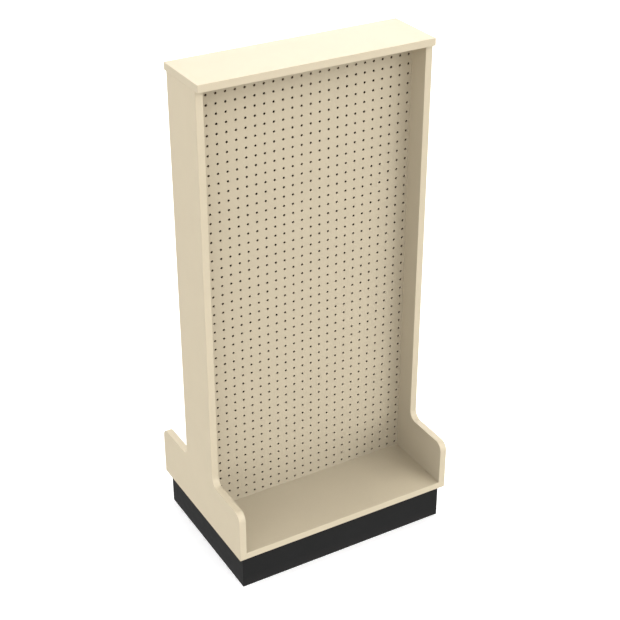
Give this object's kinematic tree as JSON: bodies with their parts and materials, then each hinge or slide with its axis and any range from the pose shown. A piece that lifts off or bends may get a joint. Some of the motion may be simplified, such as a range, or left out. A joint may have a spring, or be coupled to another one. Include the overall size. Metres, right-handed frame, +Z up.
{
  "type": "pegboard display stand",
  "caption": "Two-sided floor stand for retail goods: perforated boards for peg hooks between end panels, with a cap, a low tray on each side and a recessed dark plinth with levelling feet.",
  "frame": {"origin": "on the floor under the centre of the stand", "axes": "+Z up, +X along the stand from the left end panel to the right one seen from the front, -Y towards the front"},
  "size_m": [0.6414, 0.4572, 1.3589],
  "materials": {
    "almond_laminate": "satin almond melamine laminate on particle board",
    "almond_edge_band": "satin almond plastic edge banding",
    "almond_hardboard": "almond paint on tempered hardboard, with bare brown hole walls",
    "black_laminate": "satin black melamine laminate",
    "pine": "bare planed pine",
    "beech_dowel": "bare turned beech",
    "zinc_plated_steel": "bright zinc plate",
    "black_nylon": "moulded black nylon"
  },
  "bodies": {
    "stand": {"base_deck": "almond_laminate", "cap_brace_screws": "zinc_plated_steel", "cap_dowels": "beech_dowel", "cap_edge_bands": "almond_edge_band", "cleat_to_deck_screws": "zinc_plated_steel", "cleat_to_kick_screws": "zinc_plated_steel", "deck_cam_bolts": "zinc_plated_steel", "deck_cam_discs": "zinc_plated_steel", "deck_dowels": "beech_dowel", "deck_edge_bands": "almond_edge_band", "front_kick_board": "black_laminate", "front_left_cap_brace": "zinc_plated_steel", "front_left_cleat": "pine", "front_left_corner_block": "pine", "front_left_foot_nut": "zinc_plated_steel", "front_pegboard": "almond_hardboard", "front_right_cap_brace": "zinc_plated_steel", "front_right_cleat": "pine", "front_right_corner_block": "pine", "front_right_foot_nut": "zinc_plated_steel", "left_end_panel": "almond_laminate", "left_kick_board": "black_laminate", "left_panel_edge_bands": "almond_edge_band", "plinth_cross_rail": "pine", "plinth_dowels": "beech_dowel", "rear_kick_board": "black_laminate", "rear_left_cap_brace": "zinc_plated_steel", "rear_left_cleat": "pine", "rear_left_corner_block": "pine", "rear_left_foot_nut": "zinc_plated_steel", "rear_pegboard": "almond_hardboard", "rear_right_cap_brace": "zinc_plated_steel", "rear_right_cleat": "pine", "rear_right_corner_block": "pine", "rear_right_foot_nut": "zinc_plated_steel", "right_end_panel": "almond_laminate", "right_kick_board": "black_laminate", "right_panel_edge_bands": "almond_edge_band", "spine_bottom_rail": "pine", "spine_centre_stile": "pine", "spine_dowels": "beech_dowel", "spine_left_stile": "pine", "spine_middle_rail_left": "pine", "spine_middle_rail_right": "pine", "spine_right_stile": "pine", "spine_screws": "zinc_plated_steel", "spine_top_rail": "pine", "top_cap": "almond_laminate"},
    "front_left_foot_pad": {"front_left_foot_pad": "black_nylon"},
    "front_left_foot_stem": {"front_left_foot_stem": "zinc_plated_steel"},
    "front_right_foot_pad": {"front_right_foot_pad": "black_nylon"},
    "front_right_foot_stem": {"front_right_foot_stem": "zinc_plated_steel"},
    "rear_left_foot_pad": {"rear_left_foot_pad": "black_nylon"},
    "rear_left_foot_stem": {"rear_left_foot_stem": "zinc_plated_steel"},
    "rear_right_foot_pad": {"rear_right_foot_pad": "black_nylon"},
    "rear_right_foot_stem": {"rear_right_foot_stem": "zinc_plated_steel"}
  },
  "joints": [
    {"name": "front_left_foot_travel", "type": "slide", "parent": "stand", "child": "front_left_foot_pad", "axis": [0, 0, -1], "range_m": [0, 0.0127]},
    {"name": "front_left_foot_screw", "type": "hinge", "parent": "front_left_foot_pad", "child": "front_left_foot_stem", "pos_m": [-0.26353, -0.17145, 0.03], "axis": [0, 0, -1], "range_deg": [0, 3240]},
    {"name": "front_right_foot_travel", "type": "slide", "parent": "stand", "child": "front_right_foot_pad", "axis": [0, 0, -1], "range_m": [0, 0.0127]},
    {"name": "front_right_foot_screw", "type": "hinge", "parent": "front_right_foot_pad", "child": "front_right_foot_stem", "pos_m": [0.26353, -0.17145, 0.03], "axis": [0, 0, -1], "range_deg": [0, 3240]},
    {"name": "rear_left_foot_travel", "type": "slide", "parent": "stand", "child": "rear_left_foot_pad", "axis": [0, 0, -1], "range_m": [0, 0.0127]},
    {"name": "rear_left_foot_screw", "type": "hinge", "parent": "rear_left_foot_pad", "child": "rear_left_foot_stem", "pos_m": [-0.26353, 0.17145, 0.03], "axis": [0, 0, -1], "range_deg": [0, 3240]},
    {"name": "rear_right_foot_travel", "type": "slide", "parent": "stand", "child": "rear_right_foot_pad", "axis": [0, 0, -1], "range_m": [0, 0.0127]},
    {"name": "rear_right_foot_screw", "type": "hinge", "parent": "rear_right_foot_pad", "child": "rear_right_foot_stem", "pos_m": [0.26353, 0.17145, 0.03], "axis": [0, 0, -1], "range_deg": [0, 3240]}
  ],
  "couplings": [
    {"joint": "front_left_foot_screw", "follows": "front_left_foot_travel", "rad_per_m": 4452.6},
    {"joint": "front_right_foot_screw", "follows": "front_right_foot_travel", "rad_per_m": 4452.6},
    {"joint": "rear_left_foot_screw", "follows": "rear_left_foot_travel", "rad_per_m": 4452.6},
    {"joint": "rear_right_foot_screw", "follows": "rear_right_foot_travel", "rad_per_m": 4452.6}
  ]
}
